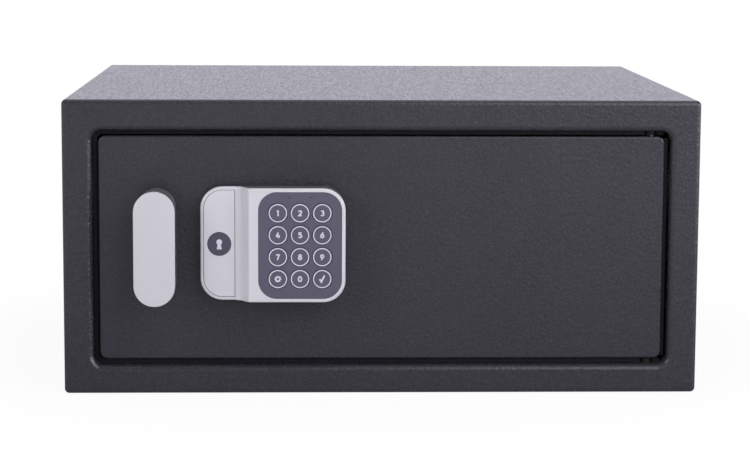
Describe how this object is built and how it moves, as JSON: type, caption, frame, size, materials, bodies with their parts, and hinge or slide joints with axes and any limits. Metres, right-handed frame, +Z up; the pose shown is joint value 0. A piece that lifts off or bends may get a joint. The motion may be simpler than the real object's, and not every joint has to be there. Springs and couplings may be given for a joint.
{
  "type": "laptop safe",
  "caption": "Low steel safe for a laptop, with a recessed side-hinged door, turn handle, electronic keypad and emergency key lock under a lift-off cover.",
  "frame": {"origin": "centre of the case's base face", "axes": "+X to the right seen from the front, +Z up; the door faces -Y"},
  "size_m": [0.43, 0.374, 0.2],
  "materials": {
    "charcoal_coat": "fine textured powder coat",
    "floor_lining": "short felt",
    "zinc_steel": "zinc plated",
    "spacer_nylon": "moulded",
    "brass": "turned",
    "light_shell": "satin silver paint on plastic",
    "dark_shell": "satin",
    "key_grey": "soft satin",
    "badge_grey": "satin",
    "lamp_lens": "clear smoked",
    "black_plastic": "fine spark texture",
    "contact_rubber": "matt",
    "circuit_board": "solder mask",
    "coil_copper": "wound enamelled wire",
    "cell_wrap": "plain printed sleeve",
    "wire_red": "smooth sheath",
    "reset_red": "moulded"
  },
  "bodies": {
    "case": {"case_wrap": "charcoal_coat", "front_frame": "charcoal_coat", "back_panel": "charcoal_coat", "floor_mat": "floor_lining", "hinge_pins": "zinc_steel", "hinge_spacers": "spacer_nylon"},
    "door": {"door_plate": "charcoal_coat", "hinge_blocks": "charcoal_coat", "bolt_guide": "zinc_steel", "carriage_studs": "zinc_steel", "stud_washers": "zinc_steel", "spindle_bush": "brass", "solenoid_frame": "zinc_steel", "solenoid_coil": "coil_copper", "lock_cylinder": "zinc_steel", "lock_nut": "zinc_steel", "keypad_housing": "dark_shell", "keypad_bezel": "light_shell", "key_panel": "key_grey", "lamp_windows": "lamp_lens", "contact_mat": "contact_rubber", "keypad_board": "circuit_board", "inner_cover": "black_plastic", "cover_posts": "zinc_steel", "door_screws": "zinc_steel", "battery_holder": "black_plastic", "battery_cells": "cell_wrap", "battery_contacts": "zinc_steel", "control_board": "circuit_board", "board_parts": "black_plastic", "wiring": "wire_red"},
    "handle": {"handle_body": "dark_shell", "handle_cap": "light_shell", "handle_spindle": "zinc_steel", "handle_cam": "zinc_steel", "crank_pin": "zinc_steel", "spindle_nut": "zinc_steel"},
    "bolts": {"bolt_carriage": "zinc_steel", "locking_bolts": "zinc_steel", "bolt_screws": "zinc_steel"},
    "blocker": {"solenoid_plunger": "zinc_steel"},
    "lock_core": {"lock_plug": "brass", "lock_cam": "zinc_steel", "lock_cam_nut": "zinc_steel"},
    "cover": {"lock_cover": "light_shell", "badge_disc": "badge_grey"},
    "bay_cover": {"battery_door": "black_plastic"},
    "reset": {"reset_button": "reset_red"},
    "key_1_body": {"key_1": "key_grey"},
    "key_2_body": {"key_2": "key_grey"},
    "key_3_body": {"key_3": "key_grey"},
    "key_4_body": {"key_4": "key_grey"},
    "key_5_body": {"key_5": "key_grey"},
    "key_6_body": {"key_6": "key_grey"},
    "key_7_body": {"key_7": "key_grey"},
    "key_8_body": {"key_8": "key_grey"},
    "key_9_body": {"key_9": "key_grey"},
    "key_set_body": {"key_set": "key_grey"},
    "key_0_body": {"key_0": "key_grey"},
    "key_enter_body": {"key_enter": "key_grey"}
  },
  "joints": [
    {"name": "door_hinge", "type": "hinge", "parent": "case", "child": "door", "pos_m": [0.1822, -0.163, 0.1], "axis": [0, 0, 1], "range_deg": [0, 100]},
    {"name": "handle_turn", "type": "hinge", "parent": "door", "child": "handle", "pos_m": [-0.152, -0.168, 0.1025], "axis": [0, -1, 0], "range_deg": [0, 35]},
    {"name": "bolt_slide", "type": "slide", "parent": "door", "child": "bolts", "axis": [-1, 0, 0], "range_m": [0, 0.01504]},
    {"name": "blocker_slide", "type": "slide", "parent": "door", "child": "blocker", "axis": [0, 0, 1], "range_m": [0, 0.005]},
    {"name": "lock_turn", "type": "hinge", "parent": "door", "child": "lock_core", "pos_m": [-0.10965, -0.168, 0.1035], "axis": [0, 1, 0], "range_deg": [0, 90]},
    {"name": "cover_lift", "type": "slide", "parent": "door", "child": "cover", "axis": [0, -1, 0], "range_m": [0, 0.03]},
    {"name": "bay_cover_lift", "type": "slide", "parent": "door", "child": "bay_cover", "axis": [0, 1, 0], "range_m": [0, 0.03]},
    {"name": "reset_press", "type": "slide", "parent": "door", "child": "reset", "axis": [0, -1, 0], "range_m": [0, 0.0015], "stiffness_N_per_m": 400},
    {"name": "key_1_press", "type": "slide", "parent": "door", "child": "key_1_body", "axis": [0, 1, 0], "range_m": [0, 0.0008], "stiffness_N_per_m": 500},
    {"name": "key_2_press", "type": "slide", "parent": "door", "child": "key_2_body", "axis": [0, 1, 0], "range_m": [0, 0.0008], "stiffness_N_per_m": 500},
    {"name": "key_3_press", "type": "slide", "parent": "door", "child": "key_3_body", "axis": [0, 1, 0], "range_m": [0, 0.0008], "stiffness_N_per_m": 500},
    {"name": "key_4_press", "type": "slide", "parent": "door", "child": "key_4_body", "axis": [0, 1, 0], "range_m": [0, 0.0008], "stiffness_N_per_m": 500},
    {"name": "key_5_press", "type": "slide", "parent": "door", "child": "key_5_body", "axis": [0, 1, 0], "range_m": [0, 0.0008], "stiffness_N_per_m": 500},
    {"name": "key_6_press", "type": "slide", "parent": "door", "child": "key_6_body", "axis": [0, 1, 0], "range_m": [0, 0.0008], "stiffness_N_per_m": 500},
    {"name": "key_7_press", "type": "slide", "parent": "door", "child": "key_7_body", "axis": [0, 1, 0], "range_m": [0, 0.0008], "stiffness_N_per_m": 500},
    {"name": "key_8_press", "type": "slide", "parent": "door", "child": "key_8_body", "axis": [0, 1, 0], "range_m": [0, 0.0008], "stiffness_N_per_m": 500},
    {"name": "key_9_press", "type": "slide", "parent": "door", "child": "key_9_body", "axis": [0, 1, 0], "range_m": [0, 0.0008], "stiffness_N_per_m": 500},
    {"name": "key_set_press", "type": "slide", "parent": "door", "child": "key_set_body", "axis": [0, 1, 0], "range_m": [0, 0.0008], "stiffness_N_per_m": 500},
    {"name": "key_0_press", "type": "slide", "parent": "door", "child": "key_0_body", "axis": [0, 1, 0], "range_m": [0, 0.0008], "stiffness_N_per_m": 500},
    {"name": "key_enter_press", "type": "slide", "parent": "door", "child": "key_enter_body", "axis": [0, 1, 0], "range_m": [0, 0.0008], "stiffness_N_per_m": 500}
  ],
  "couplings": [
    {"joint": "bolt_slide", "follows": "handle_turn", "m_per_rad": 0.024613}
  ]
}
